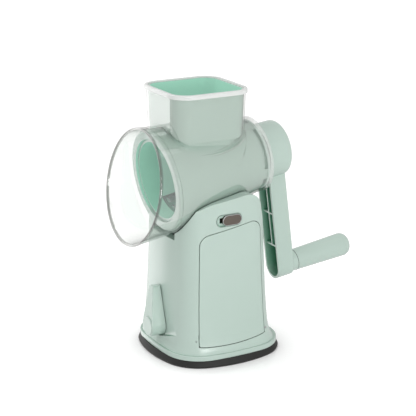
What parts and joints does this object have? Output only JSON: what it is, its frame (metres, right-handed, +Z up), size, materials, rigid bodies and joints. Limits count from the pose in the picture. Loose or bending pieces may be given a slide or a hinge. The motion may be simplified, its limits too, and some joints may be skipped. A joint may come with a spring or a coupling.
{
  "type": "rotary_vegetable_shredder",
  "caption": "Hand-cranked rotary cabbage shredder on a suction stand: clear hopper and bell mouth, green barrel with slotted drum, storage door, release slider and clamping lever",
  "frame": {"origin": "middle of the foot's lower face, on the bench", "axes": "+Z up; -Y towards the food mouth; +Y towards the crank; +X towards the storage door"},
  "size_m": [0.139, 0.2743, 0.28],
  "materials": {
    "green_plastic": "smooth moulded ABS, satin gloss",
    "clear_plastic": "clear moulded styrene copolymer",
    "dark_plastic": "dark green moulded nylon",
    "grey_plastic": "grey-brown moulded plastic, fine grain",
    "rubber": "black moulded rubber",
    "steel": "turned and zinc plated",
    "blade_steel": "stamped stainless sheet"
  },
  "bodies": {
    "stand": {"tower_shell": "green_plastic", "lever_bush": "dark_plastic", "base_plate": "dark_plastic", "base_screws": "steel", "foot_ring": "rubber", "suction_cup": "rubber", "storage_liner": "dark_plastic", "slider_track": "green_plastic"},
    "suction_stud": {"suction_stud": "steel"},
    "suction_lever": {"clamp_lever": "green_plastic", "lever_cap": "green_plastic", "cam_shaft": "steel", "shaft_clip": "steel"},
    "door": {"storage_door": "green_plastic", "door_pins": "steel"},
    "release_slider": {"release_knob": "grey_plastic", "latch_plate": "grey_plastic"},
    "housing": {"clear_casing": "clear_plastic", "inner_barrel": "green_plastic", "drum_sleeve": "green_plastic", "rear_plate": "green_plastic", "bearing_bush": "dark_plastic", "plate_screws": "steel", "rail_key": "dark_plastic"},
    "crank": {"crank_arm": "green_plastic", "drive_shaft": "steel", "shaft_screw": "steel", "hub_cover": "green_plastic", "grip_spindle": "steel", "drum_body": "green_plastic", "shred_plate_upper": "blade_steel", "shred_plate_lower": "blade_steel"},
    "grip": {"grip_sleeve": "green_plastic", "grip_cap": "green_plastic"}
  },
  "joints": [
    {"name": "suction_lever", "type": "hinge", "parent": "stand", "child": "suction_lever", "pos_m": [0, -0.056, 0.0315], "axis": [0, 1, 0], "range_deg": [0, 90]},
    {"name": "stud_lift", "type": "slide", "parent": "stand", "child": "suction_stud", "axis": [0, 0, 1], "range_m": [0, 0.003], "deforming": ["suction_cup"]},
    {"name": "storage_door", "type": "hinge", "parent": "stand", "child": "door", "pos_m": [0.053, -0.0015, 0.027], "axis": [0, 1, 0], "range_deg": [0, 75]},
    {"name": "release_slide", "type": "slide", "parent": "stand", "child": "release_slider", "axis": [0, -1, 0], "range_m": [0, 0.006]},
    {"name": "housing_lift", "type": "slide", "parent": "stand", "child": "housing", "axis": [0, 0, 1], "range_m": [0, 0.06]},
    {"name": "crank_turn", "type": "hinge", "parent": "housing", "child": "crank", "pos_m": [0, 0, 0.194], "axis": [0, 0.9919, 0.1271], "continuous": true},
    {"name": "grip_spin", "type": "hinge", "parent": "crank", "child": "grip", "pos_m": [0, 0.01677, 0.06307], "axis": [0, 0.9919, 0.1271], "continuous": true}
  ],
  "couplings": [
    {"joint": "suction_lever", "follows": "stud_lift", "rad_per_m": 523.59}
  ]
}
